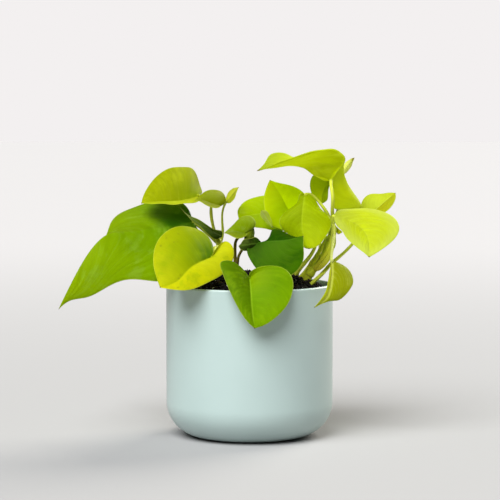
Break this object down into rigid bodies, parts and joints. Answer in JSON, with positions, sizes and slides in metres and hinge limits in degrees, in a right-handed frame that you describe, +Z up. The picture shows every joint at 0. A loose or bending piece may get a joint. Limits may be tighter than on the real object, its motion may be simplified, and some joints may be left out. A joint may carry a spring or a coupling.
{
  "type": "potted pothos",
  "caption": "Small lime-green pothos with heart-shaped leaves on slender stems, growing from dark soil in a plain round-based cylindrical pot.",
  "frame": {"origin": "centre of the pot's flat foot, on the surface it stands on", "axes": "+Z up along the pot's axis, +X to the plant's right and +Y to its back, so the front leaf hangs on the -Y side"},
  "size_m": [0.2804, 0.1825, 0.2405],
  "materials": {
    "pot": "satin",
    "soil": "matte",
    "stem": "satin",
    "sheath": "matte",
    "leaf": "satin",
    "lime_leaf": "satin",
    "dark_leaf": "satin"
  },
  "bodies": {
    "root": {"leaf_arched_lobe": "leaf", "leaf_arched_top": "leaf", "leaf_back_left": "leaf", "leaf_back_low": "leaf", "leaf_back_middle": "lime_leaf", "leaf_back_right": "leaf", "leaf_big_left": "leaf", "leaf_bright_right": "lime_leaf", "leaf_broad_middle": "lime_leaf", "leaf_dark_middle": "dark_leaf", "leaf_heart_front": "leaf", "leaf_low_right": "leaf", "leaf_new_rolled": "leaf", "leaf_sheath_left": "sheath", "leaf_small_left": "leaf", "leaf_small_middle": "leaf", "leaf_small_right": "lime_leaf", "leaf_tiny_upper": "leaf", "leaf_upper_left": "lime_leaf", "leaf_upright_middle": "lime_leaf", "leaf_yellow_front": "lime_leaf", "petiole_arched_top": "stem", "petiole_back_left": "stem", "petiole_back_low": "stem", "petiole_back_middle": "stem", "petiole_back_right": "stem", "petiole_big_left": "stem", "petiole_bright_right": "stem", "petiole_broad_middle": "stem", "petiole_dark_middle": "stem", "petiole_heart_front": "stem", "petiole_low_right": "stem", "petiole_new_rolled": "stem", "petiole_small_left": "stem", "petiole_small_middle": "stem", "petiole_small_right": "stem", "petiole_tiny_upper": "stem", "petiole_upper_left": "stem", "petiole_upright_middle": "stem", "petiole_yellow_front": "stem", "pot": "pot", "soil": "soil", "vine_left": "stem", "vine_right": "stem", "vine_side": "stem"}
  },
  "joints": []
}
